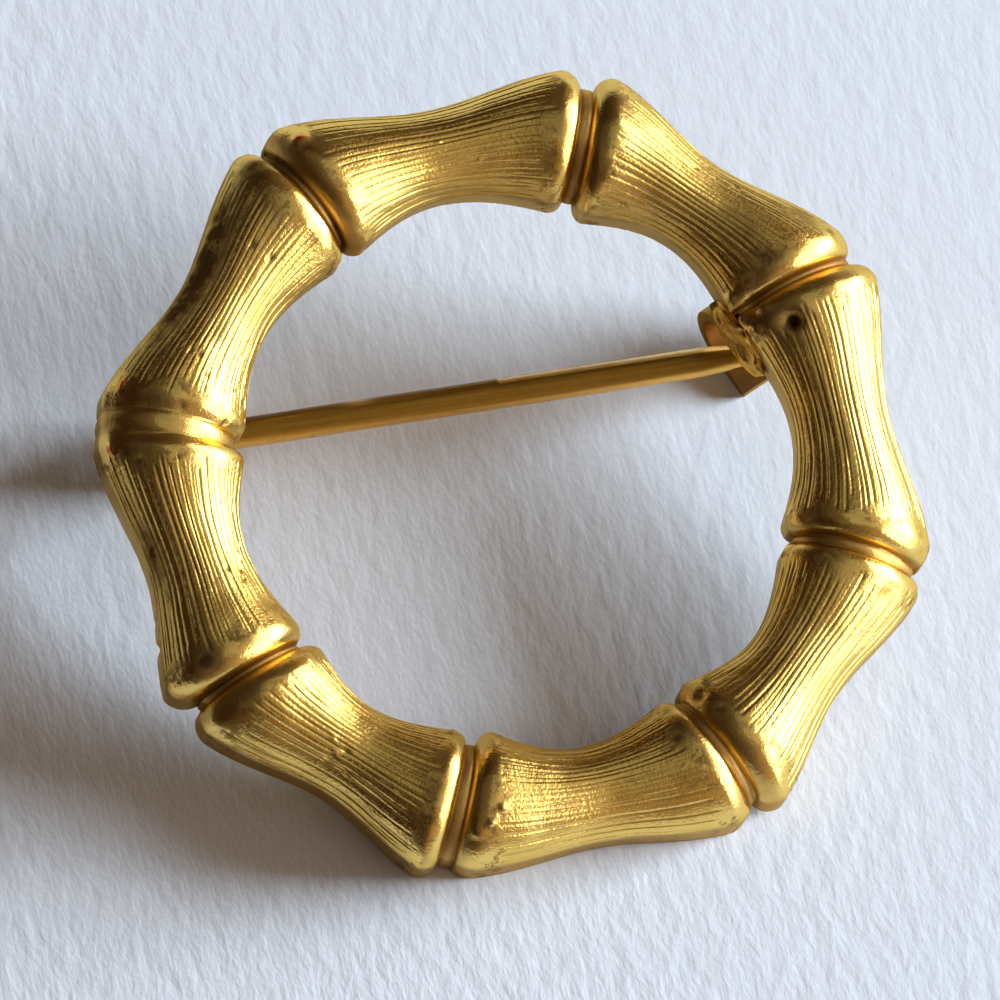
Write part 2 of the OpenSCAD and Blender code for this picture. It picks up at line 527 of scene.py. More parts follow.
def skin_object(name: str, skin: Skin, uv_name: str, sharp_deg: float) -> bpy.types.Object:
    """Makes an object from rows of points, with a flat cap at each end.

    Args:
        name: The object's name.
        skin: Points in metres, shaped (rows, columns, 3), with marks and coordinates.
        uv_name: Name of the coordinates.
        sharp_deg: Edges sharper than this stay crisp.

    Returns:
        The object, facing outward and linked to the scene.
    """
    rows, columns, _ = skin.points.shape
    index = np.arange(rows * columns).reshape(rows, columns)
    right = np.roll(index, -1, axis=1)
    quads = np.stack([index[:-1], right[:-1], right[1:], index[1:]], axis=-1).reshape(-1, 4)
    caps = [list(index[0][::-1]), list(index[-1])]
    co = skin.points.reshape(-1, 3)
    middle = co.mean(axis=0)
    a, b, c, d = (co[quads[:, k]] - middle for k in range(4))
    volume = sum((a * np.cross(*pair)).sum() for pair in ((b, c), (c, d)))
    faces = quads.tolist() + caps
    if volume < 0:
        faces = [face[::-1] for face in faces]
    mesh = bpy.data.meshes.new(name)
    mesh.from_pydata(co.tolist(), [], faces)
    for mark, values in skin.marks.items():
        made = mesh.attributes.new(mark, "FLOAT", "POINT")
        made.data.foreach_set("value", np.ascontiguousarray(values, dtype=np.float32).ravel())
    corner = np.zeros(len(mesh.loops), np.int32)
    mesh.loops.foreach_get("vertex_index", corner)
    layer = mesh.uv_layers.new(name=uv_name)
    layer.data.foreach_set("uv", skin.uv.reshape(-1, 2)[corner].astype(np.float32).ravel())
    mesh.shade_smooth()
    mesh.set_sharp_from_angle(angle=math.radians(sharp_deg))
    mesh.validate()
    return linked(name, mesh)


def outline_mesh(loop: np.ndarray, low: float, high: float) -> tuple:
    """Extrudes a flat outline.

    Args:
        loop: Outline points, shaped (n, 2).
        low: Where the extrusion starts.
        high: Where it ends.

    Returns:
        Points shaped (2n, 3) and faces.
    """
    count = len(loop)
    lower = np.column_stack([loop, np.full(count, low)])
    upper = np.column_stack([loop, np.full(count, high)])
    sides = [[k, (k + 1) % count, count + (k + 1) % count, count + k] for k in range(count)]
    caps = [list(range(count))[::-1], list(range(count, 2 * count))]
    return np.vstack([lower, upper]), sides + caps


def plain_object(name: str, points: np.ndarray, faces: list, bevel_mm: float) -> bpy.types.Object:
    """Makes an object with softened edges.

    Args:
        name: The object's name.
        points: Points in metres.
        faces: Faces as lists of point numbers.
        bevel_mm: Width of the softened edges, 0 for none.

    Returns:
        The object, linked to the scene.
    """
    mesh = bpy.data.meshes.new(name)
    mesh.from_pydata(points.tolist(), [], faces)
    mesh.validate()
    mesh.shade_smooth()
    mesh.set_sharp_from_angle(angle=math.radians(SOFT_EDGE_DEG))
    made = linked(name, mesh)
    if bevel_mm > 0:
        bevel = made.modifiers.new("softened", "BEVEL")
        bevel.width = bevel_mm * MM
        bevel.segments = 3
        bevel.limit_method = "ANGLE"
        bevel.angle_limit = math.radians(SOFT_EDGE_DEG)
        bevel.harden_normals = True
    return made


class Body(Enum):
    """The bodies that pieces ride on."""

    RING = "ring"
    PIN = "pin"


def dress(
    piece: bpy.types.Object, finish: bpy.types.Material, body: Body, node: str
) -> None:
    """Gives a piece its material and its place in the frame.

    Args:
        piece: The piece.
        finish: Its material.
        body: The body it rides on.
        node: The CAD node that it stands for.
    """
    piece.data.materials.clear()
    piece.data.materials.append(finish)
    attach(piece, body.value)
    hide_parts(node)
    LOG.info("built %s, %d points", piece.name, len(piece.data.vertices))


# The ring


class Rim(NamedTuple):
    """How a length rises out of a groove, in millimetres from its middle, and how far it is dark."""

    foot: float
    reach: float
    power: float
    dark_to: float


ROUND_RIM = Rim(0.22, 0.95, 0.5, 0.22)
WIDE_RIM = Rim(0.12, 1.05, 0.5, 0.12)
TIGHT_RIM = Rim(0.1, 0.85, 0.5, 0.1)
SOFT_RIM = Rim(0.42, 1.2, 1.4, 0.35)
STEPPED_RIM = Rim(0.2, 1.2, 0.75, 0.6)
SLOPED_RIM = Rim(0.08, 1.2, 0.8, 0.75)


class Joint(NamedTuple):
    """A groove between two lengths, with its neck's radii and height and the rims beside it."""

    angle: float
    skew: float
    neck_out: float
    neck_in: float
    neck_h: float
    crown: float
    # tarnish: how dark the groove, its seam and its sloped faces are, as tarnish together with painted
    # shade.
    tarnish: float
    gap: float
    before: Rim
    after: Rim


class Length(NamedTuple):
    """A bamboo length from the joint of the same row to the next one."""

    crest_out: float
    waist_out: float
    waist_in: float
    crest_in: float
    more_out_first: float
    more_out_last: float
    more_in_first: float
    more_in_last: float


class Mark(NamedTuple):
    """A small mark on a length: a pit, a bump, a stain, a band of painted shade or a copper spot.

    Its place is a share along the length and a share round the dome from the outer edge. A bump has a
    negative depth, stain and shade values over 1 darken to soot black, and stretch draws the mark out along
    the length.
    """

    along: float
    across: float
    radius_mm: float
    depth_mm: float
    # How dark the mark is: a real stain for most marks, painted shade for the long bands on the outer
    # sides.
    stain: float
    copper: float = 0.0
    stretch: float = 1.0


class Rows(NamedTuple):
    """A length's rows: how far each is from its own groove, and which belong to the last joint."""

    t: np.ndarray
    at_end: np.ndarray
    half: float

    def pick(self, first: object, last: object) -> np.ndarray:
        """Returns the first joint's value for the rows on its side and the last joint's for the rest."""
        return np.where(self.at_end, last, first)


@dataclass(frozen=True)
class Engraving:
    """The cut lines: main ones over a whole length, with a fine short one between each two."""

    count: int = 20
    spread: float = 0.35
    jitter: float = 0.18
    wobble: float = 0.1
    sway_cells: tuple = (5, 1)
    press_cells: tuple = (10, 1)
    starts: tuple = (0.05, 0.75)
    fine_reaches: tuple = (0.2, 0.75)
    main_depths: tuple = (0.55, 1.0)
    fine_depths: tuple = (0.15, 0.5)
    widths: tuple = (0.18, 0.3)
    end_fade: float = 0.22
    fine_fade: float = 0.4
    edge_fade: float = 0.3

    def depths(self, rng: np.random.Generator, rows: Rows, share: np.ndarray, lip: float) -> np.ndarray:
        """Engraves the lines of one length.

        Args:
            rng: Seeded source of the lines' places and depths.
            rows: The length's rows.
            share: Share round the dome of each column.
            lip: Where the polished lips end.

        Returns:
            Depth of the cuts from 0 to 1, shaped (rows, columns).
        """
        shape = (len(rows.t), 2)
        depth = np.zeros((len(rows.t), len(share)))
        pitch = 1 / self.count
        for line in range(2 * self.count):
            main = line % 2 == 0
            sway = smooth_noise(rng, shape, self.sway_cells)[:, 0]
            even = (line / 2 + 0.5 + rng.uniform(-self.jitter, self.jitter)) * pitch
            crowding = self.spread * math.sin(2 * math.pi * even) / (2 * math.pi)
            place = even + crowding + self.wobble * pitch * sway
            start, stop = lip + rng.uniform(*self.starts, 2)
            reach = 1.0 if main else rng.uniform(*self.fine_reaches)
            own = rng.uniform(*(self.main_depths if main else self.fine_depths))
            fade = np.clip((rows.t - rows.pick(start, stop)) / self.end_fade, 0, 1)
            strength = own * fade * (0.8 + 0.2 * smooth_noise(rng, shape, self.press_cells)[:, 0])
            strength = strength * np.clip((reach * rows.half - rows.t) / self.fine_fade + 1, 0, 1)
            width = pitch * rng.uniform(*self.widths)
            off = np.abs(share[None, :] - place[:, None]) / width
            depth = np.maximum(depth, strength[:, None] * np.clip(1 - off, 0, 1))
        on_dome = np.clip(np.sin(math.pi * share) / self.edge_fade, 0, 1)
        return depth * on_dome[None, :]


@dataclass
class BambooRing:
    """The eight engraved bamboo lengths. The marks are in one group for each length."""

    placing: Placing
    finish: bpy.types.Material
    knuckle_out: float = 16.0
    knuckle_in: float = 10.45
    knuckle_h: float = 3.0
    waist_h: float = 2.35
    neck_half: float = 0.4
    lip_end: float = 0.95
    side_reach: float = 0.9
    flare: float = 2.1
    dome_share: float = 0.6
    dome_power: float = 0.8
    joints: tuple = (
        Joint(24.6, -3.5, 15.5, 10.9, 2.42, 0.03, 0.7, 0.14, SLOPED_RIM, TIGHT_RIM),
        Joint(68, 1, 15.4, 11.1, 2.4, 0.03, 0.7, 0.24, STEPPED_RIM, ROUND_RIM),
        Joint(116.8, 1.5, 15.35, 10.9, 2.3, 0.02, 1.4, 0.12, SLOPED_RIM, WIDE_RIM),
        Joint(164.7, -1.5, 15.9, 10.75, 2.82, 0.06, 0.25, 0.3, SOFT_RIM, SOFT_RIM),
        Joint(208.5, -3, 15.2, 10.9, 2.42, 0.05, 0.7, 0.12, WIDE_RIM, SLOPED_RIM),
        Joint(249.6, -1, 15.5, 10.85, 2.4, 0.03, 0.7, 0.24, ROUND_RIM, STEPPED_RIM),
        Joint(294.4, 1, 15.5, 10.8, 2.42, 0.03, 0.8, 0.16, ROUND_RIM, SLOPED_RIM),
        Joint(336.7, -1, 15.6, 10.9, 2.45, 0.05, 0.6, 0.16, ROUND_RIM, ROUND_RIM),
    )
    lengths: tuple = (
        Length(0.988, 14.62, 11.1, 1.015, 0.08, 0.22, 0.0, -0.12),
        Length(0.987, 14.45, 10.95, 1, 0.12, 0.09, 0.15, -0.13),
        Length(0.985, 14.36, 10.7, 1, 0.14, 0.16, -0.15, -0.1),
        Length(0.993, 14.6, 10.75, 0.996, 0.0, 0.2, -0.1, 0.0),
        Length(0.998, 14.7, 10.85, 0.996, -0.05, 0.14, -0.05, 0.08),
        Length(0.991, 14.7, 10.95, 1.004, -0.1, 0.1, -0.2, 0.0),
        Length(0.991, 14.82, 11, 1.006, 0.3, 0.13, -0.16, 0.08),
        Length(0.996, 14.65, 10.95, 1.004, 0.1, 0.14, -0.05, 0.0),
    )
    # Marks per length, mostly real pits, bumps and stains; the long bands on the outer sides of the third
    # and fourth lengths are painted shade.
    marks: tuple = (
        (
            Mark(0.565, 0.34, 0.1, 0.05, 0.8), Mark(0.406, 0.29, 0.12, 0.05, 0.8),
            Mark(0.073, 0.88, 0.3, -0.12, 0.5), Mark(0.0, 0.9, 0.55, -0.35, 0.6),
            Mark(0.012, 0.97, 0.35, -0.2, 0.5), Mark(0.1, 0.72, 0.5, 0.0, 0.95),
            Mark(0.13, 0.6, 0.8, 0.0, 0.9), Mark(0.2, 0.24, 0.7, 0.0, 0.85),
            Mark(0.3, 0.55, 1.1, 0.0, 0.6), Mark(0.4, 0.75, 0.8, 0.0, 0.5),
            Mark(0.93, 0.45, 0.6, 0.0, 0.5),
        ),
        (
            Mark(0.1, 0.5, 0.9, 0.0, 0.45), Mark(0.507, 0.48, 0.09, -0.04, 0.0),
            Mark(0.366, 0.64, 0.09, -0.04, 0.0), Mark(0.91, 0.27, 0.26, -0.12, 0.0, 1.0),
        ),
        (
            # The second mark below, a long band along the outer side, is painted shade.
            Mark(0.15, 0.45, 0.8, 0.0, 0.45), Mark(0.45, 0.2, 1.15, 0.0, 1.18, 0.0, 3.3),
            Mark(0.07, 0.24, 0.6, 0.0, 0.9), Mark(0.93, 0.4, 0.5, 0.0, 0.75),
            Mark(0.278, 0.59, 0.14, 0.05, 0.8), Mark(0.286, 0.46, 0.16, 0.05, 0.8),
            Mark(0.803, 0.58, 0.12, 0.04, 0.8), Mark(0.803, 0.79, 0.14, 0.04, 0.8),
            Mark(0.84, 0.88, 0.16, 0.05, 0.9), Mark(0.9, 0.93, 0.14, 0.05, 0.9),
            Mark(0.94, 0.51, 0.14, 0.04, 0.8), Mark(0.951, 0.75, 0.12, 0.04, 0.5),
            Mark(0.729, 0.45, 0.12, 0.05, 0.9), Mark(0.735, 0.5, 0.12, 0.05, 0.9),
            Mark(0.724, 0.4, 0.12, 0.05, 0.9), Mark(0.885, 0.2, 0.24, -0.1, 0.0, 1.0),
            Mark(0.97, 0.12, 0.45, 0.0, 0.5),
        ),
        (
            Mark(0.747, 0.0, 0.18, 0.15, 0.3), Mark(0.66, 0.01, 0.12, 0.08, 0.3),
            Mark(0.1, 0.17, 0.16, -0.07, 0.0, 1.0), Mark(0.02, 0.14, 0.4, 0.0, 0.5),
            # The first mark below, a long band along the outer side, is painted shade.
            Mark(0.45, 0.16, 0.7, 0.0, 0.9, 0.0, 2.0), Mark(0.9, 0.34, 0.6, 0.03, 0.95),
            Mark(0.8, 0.82, 0.7, 0.0, 0.8), Mark(0.14, 0.32, 0.55, 0.0, 0.9),
            Mark(0.616, 0.72, 0.16, 0.05, 0.6), Mark(0.6, 0.62, 0.14, 0.05, 0.6),
            Mark(0.66, 0.7, 0.12, 0.05, 0.6), Mark(0.55, 0.76, 0.12, -0.06, 0.0),
            Mark(0.5, 0.8, 0.1, -0.05, 0.0),
        ),
        (
            Mark(0.464, 0.33, 0.2, 0.06, 0.6), Mark(0.5, 0.42, 0.16, 0.06, 0.5),
            Mark(0.43, 0.45, 0.12, -0.05, 0.0), Mark(0.47, 0.38, 0.1, -0.05, 0.0),
            Mark(0.55, 0.3, 0.14, 0.06, 0.7), Mark(0.06, 0.4, 0.55, 0.0, 0.7),
            Mark(0.88, 0.5, 0.6, 0.0, 0.65),
        ),
        (
            Mark(0.86, 0.62, 0.6, 0.0, 0.9), Mark(0.14, 0.42, 0.13, -0.09, 0.0),
            Mark(0.11, 0.35, 0.14, -0.09, 0.0), Mark(0.07, 0.3, 0.22, -0.07, 0.2),
        ),
        (
            Mark(0.03, 0.86, 0.2, 0.0, 0.0, 0.8), Mark(0.903, 0.17, 0.09, 0.04, 0.8),
            Mark(0.888, 0.14, 0.09, 0.04, 0.8), Mark(0.867, 0.3, 0.3, 0.05, 0.7),
            Mark(0.07, 0.76, 0.24, 0.08, 0.9), Mark(0.92, 0.62, 0.55, 0.0, 0.85),
            Mark(0.08, 0.62, 0.55, 0.0, 0.85),
        ),
        (
            Mark(0.07, 0.75, 0.45, 0.0, 0.85), Mark(0.3, 0.66, 0.9, 0.0, 0.4),
            Mark(0.78, 0.71, 0.7, 0.0, 0.6), Mark(0.862, 0.66, 0.36, 0.3, 2.0),
            Mark(0.88, 0.7, 0.7, 0.0, 0.95), Mark(0.892, 0.85, 0.3, -0.15, 0.5),
            Mark(0.964, 0.74, 0.3, -0.12, 0.5), Mark(1.0, 0.9, 0.55, -0.35, 0.6),
            Mark(0.766, 0.67, 0.2, 0.02, 0.5),
        ),
    )
    dome_columns: int = 300
    wall_columns: int = 4
    back_columns: int = 6
    neck_rows: int = 14
    lip_rows: int = 10
    flare_rows: int = 52
    engraving: Engraving = Engraving()
    line_depth: float = 0.042
    lump_height: float = 0.035
    coarse_lumps: tuple = (7, 6)
    fine_lumps: tuple = (15, 12)
    lump_fade: float = 0.5
    dome_blend: float = 4.0
    dome_way: float = 7.5
    uv_step: float = 20.0
    neck_tarnish_and_shade: float = 1.3
    face_tarnish_and_shade: float = 0.6
    darkening_past: float = 0.1
    seam_half: float = 0.09
    lip_fade: float = 0.35
    worn_past: float = 0.15
    worn_half: float = 0.4
    sharp_deg: float = 62.0
    seed: int = 41

    @property
    def mid_r(self) -> float:
        """Radius at the middle of the ring's width."""
        return (self.knuckle_out + self.knuckle_in) / 2

    def size_at(self, rows: Rows, rim: Rim, neck: float, crown: float, ends: tuple) -> np.ndarray:
        """Gives a size along half a length: crowned neck, rim, then the flare to the waist.

        Args:
            rows: The length's rows.
            rim: How the size rises out of the groove.
            neck: Size of the neck.
            crown: How far the neck's middle stands over its edges.
            ends: Sizes at the knuckle's crest and at the waist.

        Returns:
            The size at each row.
        """
        t = rows.t
        knuckle, waist = ends
        foot = neck - crown
        on_rim = np.clip((rim.reach - t) / (rim.reach - rim.foot), 0, 1)
        on_flare = np.clip((t - rim.reach) / (rows.half - rim.reach), 0, 1)
        rise = foot + (knuckle - foot) * (1 - on_rim**2) ** rim.power
        flare = waist + (knuckle - waist) * (1 - on_flare) ** self.flare * (1 + on_flare)
        crowned = neck - crown * (t / rim.foot) ** 2
        return np.where(t <= rim.foot, crowned, np.where(t <= rim.reach, rise, flare))

    def half_stations(self, half: float) -> np.ndarray:
        """Spreads the rows over half a length.

        Args:
            half: Half the length.

        Returns:
            Distances from the groove's middle at which it has a row.
        """
        neck = np.linspace(0, self.neck_half, self.neck_rows, endpoint=False)
        turn = np.linspace(0, math.pi / 2, self.lip_rows)
        lip = self.lip_end - (self.lip_end - self.neck_half) * np.cos(turn)
        flare = np.linspace(self.lip_end, half, self.flare_rows + 1)[1:]
        return np.concatenate([neck, lip, flare])

    def columns(self) -> tuple:
        """Gives the section's columns: up the outer wall, over the dome, down the inner wall and back.

        Returns:
            Shares across, up the wall and up the dome, and the share round the dome, each per column.
        """
        turn = np.linspace(0, math.pi, self.dome_columns)
        wall = np.linspace(0, 1, self.wall_columns, endpoint=False)
        back = np.linspace(-1, 1, self.back_columns + 2)[1:-1]
        on_wall, on_back, on_dome = np.ones(len(wall)), np.ones(len(back)), np.ones(len(turn))
        to_outer = np.linspace(1, 0, self.back_columns)
        across = np.concatenate([on_wall, np.cos(turn), -on_wall, back])
        up_wall = np.concatenate([wall, on_dome, wall[::-1], 0 * on_back])
        up_dome = np.concatenate([0 * on_wall, np.sin(turn), 0 * on_wall, 0 * on_back])
        share = np.concatenate([0 * on_wall, turn / math.pi, on_wall, to_outer])
        return across, up_wall, up_dome, share

    def sizes(self, rows: Rows, joints: tuple, size: Length) -> tuple:
        """Gives the outer radius, the inner radius and the height of each row.

        Args:
            rows: The length's rows.
            joints: The joints at its two ends.
            size: Its own sizes.

        Returns:
            The three sizes, each shaped (rows, 1).
        """

        def both(neck: str, crown: float, rims: tuple, knuckles: tuple, waist: float) -> np.ndarray:
            """Joins a size's two halves.

            Args:
                neck: Name of the joints' value for the neck.
                crown: 1 where the neck's middle stands out, -1 where it stands in.
                rims: The rims at both ends.
                knuckles: Sizes at the crests of both knuckles.
                waist: Size at the waist.

            Returns:
                The size at each row.
            """
            halves = (
                self.size_at(rows, rim, getattr(joint, neck), crown * joint.crown, (knuckle, waist))
                for joint, rim, knuckle in zip(joints, rims, knuckles)
            )
            return rows.pick(*halves)[:, None]

        crest_out, crest_in = self.knuckle_out * size.crest_out, self.knuckle_in * size.crest_in
        outer = (crest_out + size.more_out_first, crest_out + size.more_out_last)
        inner = (crest_in + size.more_in_first, crest_in + size.more_in_last)
        sides = tuple(Rim(joint.gap, self.side_reach, 0.5, joint.gap) for joint in joints)
        tops = (joints[0].after, joints[1].before)
        return (
            both("neck_out", 1, sides, outer, size.waist_out),
            both("neck_in", -1, sides, inner, size.waist_in),
            both("neck_h", 1, tops, (self.knuckle_h, self.knuckle_h), self.waist_h),
        )

    def joint_tones(self, rows: Rows, joints: tuple) -> dict:
        """Gives how strongly each row shows its joint's tarnish with painted shade, and its polish.

        Args:
            rows: The length's rows.
            joints: The joints at its two ends.

        Returns:
            Values from 0 to 1 per row, by the name of the mesh's mark.
        """
        rims = (joints[0].after, joints[1].before)
        foot, reach, _, dark_to = (rows.pick(*pair) for pair in zip(*rims))
        tarnish = rows.pick(joints[0].tarnish, joints[1].tarnish)
        past_foot = foot + self.darkening_past - rows.t
        past_dark = dark_to + self.darkening_past - rows.t
        in_neck = np.clip(self.neck_tarnish_and_shade * tarnish, 0, 1) * np.clip(past_foot / 0.15, 0, 1)
        on_face = self.face_tarnish_and_shade * tarnish * np.clip(past_dark / 0.25, 0, 1)
        worn = (rows.t - reach - self.worn_past) / self.worn_half
        return {
            "groove": np.clip(np.maximum(in_neck, on_face), 0, 1),
            "seam": np.clip(tarnish * np.exp(-(((rows.t - foot) / self.seam_half) ** 2)), 0, 1),
            "lip": np.clip(1 - (rows.t - reach) / self.lip_fade, 0, 1),
            "edge": np.exp(-(worn**2)),
        }

    def skin(self, number: int) -> Skin:
        """Works out the surface of one length.

        Args:
            number: Row of the length in the table.

        Returns:
            Its points, marks and coordinates.
        """
        first, last = joints = self.joints[number], self.joints[(number + 1) % len(self.joints)]
        half = math.radians((last.angle - first.angle) % 360) / 2 * self.mid_r
        stations = self.half_stations(half)
        t = np.concatenate([stations, stations[-2::-1]])
        rows = Rows(t, np.arange(len(t)) >= len(stations), half)
        r_out, r_in, top = self.sizes(rows, joints, self.lengths[number])
        across, up_wall, up_dome, share = self.columns()
        shape = (len(t), len(share))
        mid, wide = (r_out + r_in) / 2, (r_out - r_in) / 2
        rise = top * self.dome_share
        x = mid + wide * across
        z = (top - rise) * up_wall + rise * up_dome ** (2 * self.dome_power)
        rng = np.random.default_rng(self.seed + number)
        cut = self.engraving.depths(rng, rows, share, self.lip_end)
        lumps = smooth_noise(rng, shape, self.coarse_lumps)
        lumps = lumps + 0.5 * smooth_noise(rng, shape, self.fine_lumps)
        off_wall = np.clip(up_dome * self.dome_blend, 0, 1)
        lumps = lumps * np.clip(t / self.lump_fade, 0, 1)[:, None] * off_wall
        shown = ((up_wall > 0) | (np.abs(across) == 1))[None, :]
        relief = np.where(shown, self.lump_height * lumps - self.line_depth * cut, 0)
        stain, copper = np.zeros(shape), np.zeros(shape)
        along = rows.pick(t, 2 * half - t) / (2 * half)
        for mark in self.marks[number]:
            off_along = (along[:, None] - mark.along) * 2 * half / mark.stretch
            off_across = (share[None, :] - mark.across) * self.dome_way
            near = np.exp(-(off_along**2 + off_across**2) / mark.radius_mm**2) * shown
            relief = relief - mark.depth_mm * near
            stain = np.maximum(stain, mark.stain * near)
            copper = np.maximum(copper, mark.copper * near)
        normal_x = 2 * self.dome_power * across * rise / wide
        normal_z = up_dome ** (2 - 2 * self.dome_power)
        normal = np.hypot(normal_x, normal_z) + 1e-9
        x = x + relief * normal_x / normal
        z = z + relief * normal_z / normal
        turn = np.degrees(t / self.mid_r)
        angle = rows.pick(first.angle + turn, last.angle - turn)
        skew = rows.pick(first.skew, last.skew) * (1 - t / half) ** 2
        width = self.knuckle_out - self.knuckle_in
        angle = np.radians(angle[:, None] + skew[:, None] * (x - self.mid_r) / width)
        points = np.stack([x * np.cos(angle), x * np.sin(angle), z], axis=-1)
        even = np.ones(shape)
        marks = {name: tone[:, None] * even for name, tone in self.joint_tones(rows, joints).items()}
        # The wall mark is where the material paints shade on the walls.
        marks |= {"cut": cut, "stain": stain, "copper": copper, "wall": (1 - up_wall * off_wall) * even}
        uv = np.stack([along[:, None] * 2 * half * even, share * self.dome_way * even], axis=-1)
        return Skin(self.placing.laid(points), marks, uv + number * self.uv_step)

    def build(self) -> None:
        """Builds and dresses all lengths."""
        for number in range(len(self.lengths)):
            name = f"bamboo_length_{number + 1}"
            piece = skin_object(name, self.skin(number), "bamboo", self.sharp_deg)
            dress(piece, self.finish, Body.RING, "bamboo_ring")


# The hinge, the stem and the catch


@dataclass
class Hinge:
    """The bracket with its two ears, and the rivet."""

    placing: Placing
    finish: bpy.types.Material
    x: float = -12.3
    y: float = 3.95
    depth: float = 2.4
    rivet_d: float = 0.9
    head_d: float = 1.4
    head_h: float = 0.25
    eye_w: float = 1.15
    ear_gap: float = 0.075
    ear_t: float = 0.6
    ear_r: float = 1.1185
    base_l: float = 3.0
    base_t: float = 0.5
    hole_play: float = 0.01
    sunk: float = 0.15
    softness: float = 0.07
    head_edge: float = 0.08
    head_rows: int = 9
    head_middle: float = 0.02
    rivet_sharp_deg: float = 40.0
    round_steps: int = 48

    @property
    def ears_out(self) -> float:
        """Distance from the middle of the hinge to the ears' outer faces."""
        return self.eye_w / 2 + self.ear_gap + self.ear_t

    def about_rivet(self, points: np.ndarray) -> np.ndarray:
        """Returns points (along the rivet, sideways, up) as places in the ring's own plane."""
        shifted = (self.x + points[..., 1], self.y + points[..., 0], points[..., 2] - self.depth)
        return np.stack(shifted, axis=-1)

    def ear(self, side: int) -> tuple:
        """Makes one ear: a tab with a round lower end and a hole for the rivet.

        Args:
            side: -1 for the near ear, 1 for the far one.

        Returns:
            Points and faces.
        """
        steps = self.round_steps
        turn = round_turn(steps)
        way = np.column_stack([np.cos(turn), np.sin(turn)])
        up = self.depth - self.base_t / 2
        reach_side = self.ear_r / np.maximum(np.abs(way[:, 0]), 1e-6)
        reach_up = up / np.maximum(way[:, 1], 1e-6)
        reach = np.where(way[:, 1] > 0, np.minimum(reach_side, reach_up), self.ear_r)
        outer = way * reach[:, None]
        inner = way * (self.rivet_d / 2 + self.hole_play)
        faces_y = [side * (self.ears_out - self.ear_t), side * self.ears_out]
        rings = [
            np.column_stack([self.x + loop[:, 0], np.full(steps, self.y + y), loop[:, 1] - self.depth])
            for y in faces_y
            for loop in (outer, inner)
        ]
        points = np.vstack(rings)
        out0, in0, out1, in1 = (np.arange(steps) + k * steps for k in range(4))
        faces = []
        for one, other in ((out0, in0), (in0, in1), (in1, out1), (out1, out0)):
            for k in range(steps):
                n = (k + 1) % steps
                face = [one[k], other[k], other[n], one[n]]
                faces.append(face if side > 0 else face[::-1])
        return points, [[int(v) for v in face] for face in faces]

    def build_bracket(self) -> None:
        """Builds and dresses the bracket."""
        left, right = self.x - self.base_l / 2, self.x + self.base_l / 2
        low, high = -self.base_t, self.sunk
        corners = np.array([[left, low], [right, low], [right, high], [left, high]])
        flat, faces = outline_mesh(corners, self.y - self.ears_out, self.y + self.ears_out)
        points = [np.column_stack([flat[:, 0], flat[:, 2], flat[:, 1]])]
        faces = [face[::-1] for face in faces]
        for side in (-1, 1):
            ear_points, ear_faces = self.ear(side)
            start = sum(len(p) for p in points)
            points.append(ear_points)
            faces += [[v + start for v in face] for face in ear_faces]
        laid = self.placing.laid(np.vstack(points))
        made = plain_object("hinge_bracket", laid, faces, self.softness)
        dress(made, self.finish, Body.RING, "bamboo_ring")

    def build_rivet(self) -> None:
        """Builds and dresses the rivet with its two low domed heads."""
        head_at = self.ears_out + self.hole_play
        shank_r, head_r = self.rivet_d / 2, self.head_d / 2
        rise = self.head_h - self.head_edge
        turn = np.linspace(0, math.pi / 2, self.head_rows)[:-1]
        dome = [(head_r * math.cos(a), head_at + self.head_edge + rise * math.sin(a)) for a in turn]
        top = (self.head_middle, head_at + self.head_h)
        half = [(shank_r, 0.0), (shank_r, head_at), (head_r, head_at), *dome, top]
        profile = [(r, -y) for r, y in half[::-1]] + half[1:]
        place = self.about_rivet(turned_rows(profile, self.round_steps))
        skin = Skin(self.placing.laid(place), {}, np.zeros((*place.shape[:2], 2)))
        made = skin_object("rivet", skin, "wire", self.rivet_sharp_deg)
        dress(made, self.finish, Body.RING, "hinge_rivet")


def turned_rows(profile: list, steps: int) -> np.ndarray:
    """Turns a profile round an axis.

    Args:
        profile: (radius, place along the axis) pairs.
        steps: Points round each row.

    Returns:
        Points (place, sideways, up), shaped (rows, steps, 3).
    """
    turn = round_turn(steps)
    radius, place = (np.array(column)[:, None] for column in zip(*profile))
    return np.stack([place + 0 * turn, radius * np.cos(turn), radius * np.sin(turn)], axis=-1)


